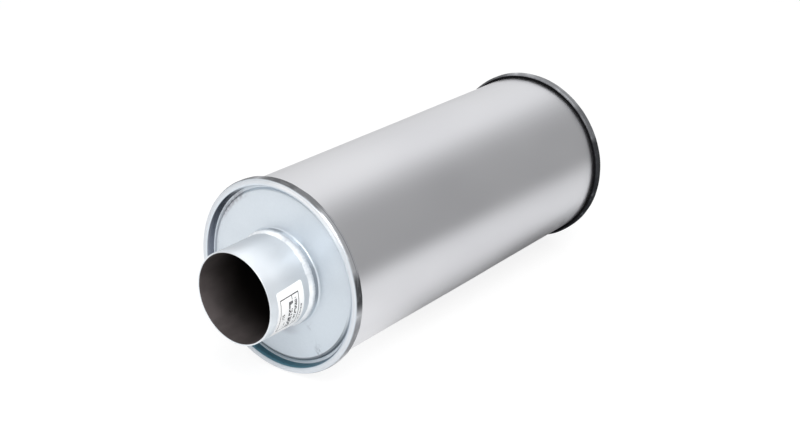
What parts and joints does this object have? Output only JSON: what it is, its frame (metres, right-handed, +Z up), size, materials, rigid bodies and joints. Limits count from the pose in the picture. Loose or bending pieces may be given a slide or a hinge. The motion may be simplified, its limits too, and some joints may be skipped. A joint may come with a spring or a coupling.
{
  "type": "exhaust resonator",
  "caption": "Round straight-through exhaust resonator: wrapped metal shell, rolled rim seams, recessed end plates and a plain pipe out of each end.",
  "frame": {"origin": "on the pipes' common axis, halfway between the two rim faces", "axes": "+X along the axis with the gas, from the inlet pipe to the outlet pipe; +Z up; the shell's lengthwise weld faces down"},
  "size_m": [0.5348, 0.1896, 0.1896],
  "materials": {
    "shell_sheet": "satin",
    "end_sheet": "satin",
    "pipe_metal": "satin",
    "weld_metal": "matte",
    "inner_sheet": "matte",
    "glass_fibre": "matte",
    "steel_wool": "matte",
    "label_paper": "matte"
  },
  "bodies": {
    "root": {"outer_wrap": "shell_sheet", "inner_wrap": "inner_sheet", "wrap_seam_weld": "weld_metal", "front_end_plate": "end_sheet", "rear_end_plate": "end_sheet", "inlet_pipe": "pipe_metal", "outlet_pipe": "pipe_metal", "inlet_weld": "weld_metal", "outlet_weld": "weld_metal", "pipe_label": "label_paper", "core_tube": "inner_sheet", "front_core_sleeve": "inner_sheet", "rear_core_sleeve": "inner_sheet", "front_baffle": "inner_sheet", "centre_baffle": "inner_sheet", "rear_baffle": "inner_sheet", "front_packing": "glass_fibre", "front_centre_packing": "glass_fibre", "rear_centre_packing": "glass_fibre", "rear_packing": "glass_fibre", "front_wool": "steel_wool", "front_centre_wool": "steel_wool", "rear_centre_wool": "steel_wool", "rear_wool": "steel_wool"}
  },
  "joints": []
}
